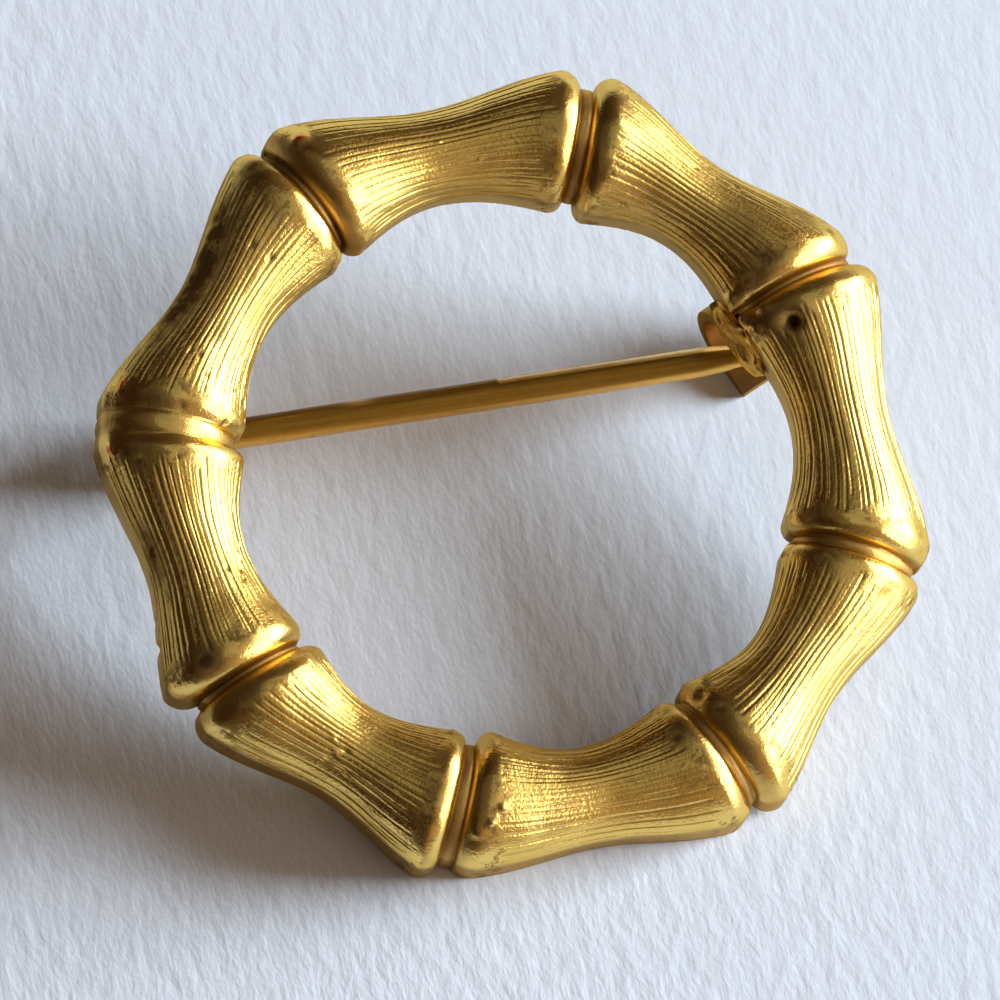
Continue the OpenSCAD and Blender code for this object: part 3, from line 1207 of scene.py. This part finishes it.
@dataclass
class PinStem:
    """The stem: a wire with an eye round the rivet and a slim point."""

    placing: Placing
    finish: bpy.types.Material
    hinge: Hinge
    d: float = 1.15
    shank_to: float = 8.6
    point_to: float = 12.6
    point_d: float = 0.24
    point_power: float = 1.25
    eye_d: float = 2.0
    eye_clearance: float = 0.05
    eye_softness: float = 0.08
    rows: int = 260
    steps: int = 64
    lumps: tuple = (34, 5)
    waviness: float = 0.012
    speck_at: tuple = (0.65, 0.4)
    speck_size: tuple = (0.2, 0.12)
    scuff_before: float = 5.4
    scuff_size: float = 0.5
    clean_turn: float = 1.12
    shade_turn: float = 2.6
    sharp_deg: float = 50.0
    seed: int = 7

    def build_wire(self) -> None:
        """Builds and dresses the shank and the point."""
        start = self.hinge.x + (self.hinge.rivet_d + self.eye_d) / 4
        x = np.linspace(start, self.point_to, self.rows)
        tip = np.clip((x - self.shank_to) / (self.point_to - self.shank_to), 0, 1)
        radius = (self.d + (self.point_d - self.d) * tip**self.point_power) / 2
        end = np.clip((self.point_to - x) / (self.point_d / 2), 0, 1)
        radius = radius * np.sqrt(1 - (1 - end) ** 2 + 1e-4)
        along, sideways, up = np.moveaxis(turned_rows(list(zip(radius, x)), self.steps), -1, 0)
        rng = np.random.default_rng(self.seed)
        lumps = 1 + self.waviness * smooth_noise(rng, (self.rows, self.steps), self.lumps)
        lumps[:, -1] = lumps[:, 0]
        shifted = (along, self.hinge.y + sideways * lumps, up * lumps - self.hinge.depth)
        place = self.placing.laid(np.stack(shifted, axis=-1))
        turn = round_turn(self.steps)[None, :]
        uv = np.stack([along, np.repeat(turn * self.d / 2, self.rows, 0)], axis=-1)
        marks = self.marks(along - self.speck_at[0], turn)
        made = skin_object("stem_wire", Skin(place, marks, uv), "wire", self.sharp_deg)
        dress(made, self.finish, Body.PIN, "pin_stem")

    def marks(self, past: np.ndarray, turn: np.ndarray) -> dict:
        """Gives the dark speck, a pale strip of painted sheen past it and the painted shade of the wire's
        shaded side.

        Args:
            past: How far each point lies past the speck.
            turn: Angle of each column.

        Returns:
            Values from 0 to 1 by the name of the mesh's mark.
        """
        off_round = (turn - self.speck_at[1]) * self.d / 2
        speck = np.exp(-((past / self.speck_size[0]) ** 2) - (off_round / self.speck_size[1]) ** 2)
        past_speck = np.clip(past / 0.15, 0, 1)
        # strip: a pale band of painted sheen along the wire, standing in for a bright reflection.
        strip = np.clip((self.clean_turn - turn) / 0.12, 0, 1) * np.clip(turn / 0.1, 0, 1)
        before = 0.5 * np.exp(-(((past + self.scuff_before) / self.scuff_size) ** 2))
        # shade is painted shade over part of the wire's round.
        shade = (1 - strip * past_speck) * np.clip((self.shade_turn - turn) / 0.5, 0, 1)
        return {"stain": np.maximum(speck, 0.9 * shade), "scuff": strip * (past_speck + before)}

    def build_eye(self) -> None:
        """Builds and dresses the eye that turns on the rivet."""
        bore = self.hinge.rivet_d / 2 + self.eye_clearance
        outer, half_w, soft = self.eye_d / 2, self.d / 2, self.eye_softness
        edge = half_w - soft
        section = [(bore, edge), (bore + soft, half_w), (outer - soft, half_w), (outer, edge)]
        profile = [(r, -y) for r, y in section] + section[::-1]
        place = self.hinge.about_rivet(turned_rows(profile, self.steps))
        count = len(profile)
        index = np.arange(count * self.steps).reshape(count, self.steps)
        down, right = np.roll(index, -1, axis=0), np.roll(index, -1, axis=1)
        quads = np.stack([index, down, np.roll(down, -1, axis=1), right], axis=-1).reshape(-1, 4)
        made = plain_object("stem_eye", self.placing.laid(place.reshape(-1, 3)), quads.tolist(), 0)
        dress(made, self.finish, Body.PIN, "pin_stem")


@dataclass
class Catch:
    """The strip bent into a C that is open towards the near side."""

    placing: Placing
    hook_finish: bpy.types.Material
    solder_finish: bpy.types.Material
    angle: float = 24.6
    strip_w: float = 3.0
    strip_t: float = 0.45
    hook_h: float = 3.5
    strip_from: float = 10.3
    bend_at: float = -0.2
    arm_l: float = 1.65
    foot_l: float = 1.6
    solder_l: float = 1.1
    sunk: float = 0.15
    bend_steps: int = 32
    softness: float = 0.06
    solder_at: tuple = (10.5, -0.4, 0.3)
    solder_size: tuple = (0.45, 1.6, 0.95)
    solder_shape: tuple = (40, 56)
    solder_cells: tuple = (9, 14)
    solder_lumps: float = 0.34
    solder_pole: float = 0.02
    solder_sharp_deg: float = 60.0
    seed: int = 19

    def placed(self, radial: np.ndarray, sideways: np.ndarray, height: np.ndarray) -> np.ndarray:
        """Lays points of the catch on the floor.

        Args:
            radial: Distances out from the ring's middle.
            sideways: Distances to the catch's side.
            height: Heights over the ring's back.

        Returns:
            Points in metres of the row frame.
        """
        cos, sin = math.cos(math.radians(self.angle)), math.sin(math.radians(self.angle))
        place = (radial * cos - sideways * sin, radial * sin + sideways * cos, height)
        return self.placing.laid(np.stack(place, axis=-1))

    def build_hook(self) -> None:
        """Builds and dresses the hook."""
        bend_r = self.hook_h / 2
        turn = np.linspace(-math.pi / 2, math.pi / 2, self.bend_steps)
        outer = np.column_stack([bend_r * np.cos(turn), bend_r * np.sin(turn) - bend_r])
        inner_r = bend_r - self.strip_t
        inner = np.column_stack([inner_r * np.cos(turn), inner_r * np.sin(turn) - bend_r])[::-1]
        fill_y = math.sqrt(bend_r**2 - self.solder_l**2) - bend_r
        outer = outer[outer[:, 1] < fill_y]
        base = [
            [self.solder_l, fill_y],
            [self.solder_l + self.strip_t, self.sunk],
            [-self.foot_l, self.sunk],
            [-self.foot_l, -self.strip_t],
        ]
        arm = ([[-self.arm_l, -self.hook_h]], [[-self.arm_l, self.strip_t - self.hook_h]])
        flat, faces = outline_mesh(np.vstack([arm[0], outer, base, inner, arm[1]]), 0, self.strip_w)
        place = self.placed(self.strip_from + flat[:, 2], self.bend_at + flat[:, 0], flat[:, 1])
        made = plain_object("catch_hook", place, faces, self.softness)
        dress(made, self.hook_finish, Body.RING, "bamboo_ring")

    def build_solder(self) -> None:
        """Builds and dresses the lump of solder that holds the hook to the ring."""
        rows, steps = self.solder_shape
        up = np.linspace(self.solder_pole, math.pi - self.solder_pole, rows)[:, None]
        turn = round_turn(steps)[None, :]
        lumps = smooth_noise(np.random.default_rng(self.seed), self.solder_shape, self.solder_cells)
        size = 1 + self.solder_lumps * lumps * (0.5 - 0.5 * np.cos(turn))
        ways = (np.sin(up) * np.cos(turn), np.sin(up) * np.sin(turn), np.cos(up) + 0 * turn)
        place = (at + half * way * size for at, half, way in zip(self.solder_at, self.solder_size, ways))
        skin = Skin(self.placed(*place), {}, np.zeros((rows, steps, 2)))
        made = skin_object("catch_solder", skin, "wire", self.solder_sharp_deg)
        dress(made, self.solder_finish, Body.RING, "bamboo_ring")


# The studio


class Casts(Enum):
    """What a soft light is there for."""

    SHADOW = "shadow"
    SHINE = "shine"


@dataclass(frozen=True)
class SoftLight:
    """A soft rectangular light that faces the brooch, for the floor's shadows or the metal's shine."""

    name: str
    azimuth: float
    elevation: float
    distance: float
    width: float
    height: float
    power: float
    tint: tuple
    casts: Casts

    def build(self) -> None:
        """Puts the light in the scene."""
        data = bpy.data.lights.new(self.name, "AREA")
        data.shape = "RECTANGLE"
        data.size, data.size_y = self.width, self.height
        data.energy = self.power
        data.color = self.tint
        lamp = bpy.data.objects.new(self.name, data)
        az, el = math.radians(self.azimuth), math.radians(self.elevation)
        way = Vector((math.cos(el) * math.cos(az), math.cos(el) * math.sin(az), math.sin(el)))
        lamp.location = way * self.distance
        lamp.rotation_euler = way.to_track_quat("Z", "Y").to_euler()
        lamp.visible_glossy = self.casts is Casts.SHINE
        lamp.visible_diffuse = self.casts is Casts.SHADOW
        bpy.context.scene.collection.objects.link(lamp)


@dataclass(frozen=True)
class Studio:
    """Camera, floor, lights and surroundings."""

    placing: Placing
    view: tuple = (-0.189, -0.234, 0.954)
    stem_slope_deg: float = 8.77
    centre_px: tuple = (512.0, 475.6)
    centre_mm: tuple = (0.0, 0.0, 0.5)
    px_per_mm: float = 26.47
    image_px: float = 1000.0
    distance_mm: float = 1600.0
    sensor_mm: float = 36.0
    clip_m: tuple = (0.01, 10.0)
    floor_m: float = 1.2
    room_turn_deg: float = -25.0
    room_tones: tuple = (
        (0.05, (0.03, 0.014, 0.009)),
        (0.22, (0.035, 0.018, 0.012)),
        (0.34, (0.065, 0.04, 0.026)),
        (0.5, (0.1, 0.074, 0.053)),
        (0.68, (0.32, 0.23, 0.165)),
        (0.95, (0.5, 0.4, 0.3)),
    )
    lights: tuple = (
        SoftLight("window", 0.0, 14.5, 0.9, 0.48, 0.25, 25.8, (0.73, 0.86, 1.0), Casts.SHADOW),
        SoftLight("window_foot", 0.0, 5.0, 0.9, 0.48, 0.09, 11.0, (0.73, 0.86, 1.0), Casts.SHADOW),
        SoftLight("window_glow", -8.0, 24.0, 0.6, 1.08, 0.56, 6.1, (0.96, 0.98, 1.0), Casts.SHINE),
        SoftLight("window_pane", 9.0, 12.0, 0.6, 0.34, 0.14, 1.5, (0.96, 0.98, 1.0), Casts.SHINE),
        SoftLight("ceiling", 0.0, 76.0, 0.6, 0.7, 0.7, 0.34, (0.94, 1.0, 0.93), Casts.SHINE),
        SoftLight("ceiling_left", 180.0, 64.0, 0.6, 0.9, 0.5, 0.09, (1.0, 0.95, 0.85), Casts.SHINE),
    )

    def build_camera(self) -> None:
        """Puts the camera where the photo was taken from."""
        toward = Vector(self.placing.turned(np.array(self.view))).normalized()
        stem = Vector((1, 0, 0))
        flat = (stem - toward * stem.dot(toward)).normalized()
        slope = math.radians(self.stem_slope_deg)
        right = Matrix.Rotation(-slope, 3, toward) @ flat
        up = toward.cross(right)
        seen = Vector(self.placing.laid(np.array(self.centre_mm)))
        middle = self.image_px / 2
        off_right = (self.centre_px[0] - middle) / self.px_per_mm * MM
        off_up = (middle - self.centre_px[1]) / self.px_per_mm * MM
        aim = seen - right * off_right - up * off_up
        data = bpy.data.cameras.new("camera")
        data.sensor_width = self.sensor_mm
        data.lens = self.sensor_mm * self.distance_mm * self.px_per_mm / self.image_px
        data.clip_start, data.clip_end = self.clip_m
        camera = bpy.data.objects.new("camera", data)
        turn = Matrix((right, up, toward)).transposed().to_4x4()
        camera.matrix_world = Matrix.Translation(aim + toward * self.distance_mm * MM) @ turn
        bpy.context.scene.collection.objects.link(camera)
        bpy.context.scene.camera = camera

    def build_floor(self) -> None:
        """Lays the plain pale floor."""
        half = self.floor_m / 2
        corners = [(-half, -half, 0), (half, -half, 0), (half, half, 0), (-half, half, 0)]
        mesh = bpy.data.meshes.new("floor")
        mesh.from_pydata(corners, [], [(0, 1, 2, 3)])
        floor = linked("floor", mesh)
        floor.data.materials.append(PaperFinish("floor_paper").material())

    def build_surroundings(self) -> None:
        """Gives the room its soft tone, dim on the left and light towards the window."""
        world = bpy.data.worlds.new("room")
        world.use_nodes = True
        graph = Graph(world.node_tree)
        way = graph.signal("ShaderNodeTexCoord", {}, {}, "Generated")
        turn = math.radians(self.room_turn_deg)
        bright_side = (0.5 * math.cos(turn), 0.5 * math.sin(turn), 0.0)
        fac = 0.5 + graph.toward(way, bright_side)
        tones = graph.signal("ShaderNodeValToRGB", {"stops": self.room_tones}, {"Fac": fac}, "Color")
        back = graph.node("ShaderNodeBackground", {}, {"Color": tones})
        output = graph.node("ShaderNodeOutputWorld", {}, {})
        world.node_tree.links.new(back.outputs[0], output.inputs["Surface"])
        bpy.context.scene.world = world
        bpy.context.scene.view_settings.view_transform = "Standard"

    def build(self) -> None:
        """Builds the whole studio."""
        self.build_camera()
        self.build_floor()
        self.build_surroundings()
        for light in self.lights:
            light.build()


def main() -> None:
    """Builds the brooch and its studio."""
    logging.basicConfig(level=logging.INFO, format="%(message)s")
    hinge_at = (Hinge.x, Hinge.y, -Hinge.depth)
    placing = Placing.from_hinge(frame["joints"][0], hinge_at)
    Studio(placing).build()
    BambooRing(placing, BambooGold("gold_bamboo").material()).build()
    hinge = Hinge(placing, PlainGold("gold_fittings").material())
    hinge.build_bracket()
    hinge.build_rivet()
    stem = PinStem(placing, WireGold("gold_wire").material(), hinge)
    stem.build_wire()
    stem.build_eye()
    # The catch is darker than the other fittings: its tarnish together with painted shade that keeps the
    # inside of the hook dark.
    dull_shaded = PlainGold(
        "gold_catch",
        gold=colour(0.33, 0.21, 0.08),
        tarnish=colour(0.11, 0.06, 0.025),
        roughness=0.4,
    )
    rough = PlainGold(
        "gold_solder",
        gold=colour(0.7, 0.41, 0.09),
        tarnish=colour(0.25, 0.12, 0.03),
        roughness=0.34,
        relief_mm=0.06,
        rim_tint=colour(1.0, 0.6, 0.2),
    )
    catch = Catch(placing, dull_shaded.material(), rough.material())
    catch.build_hook()
    catch.build_solder()


if __name__ == "__main__":
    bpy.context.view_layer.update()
    main()
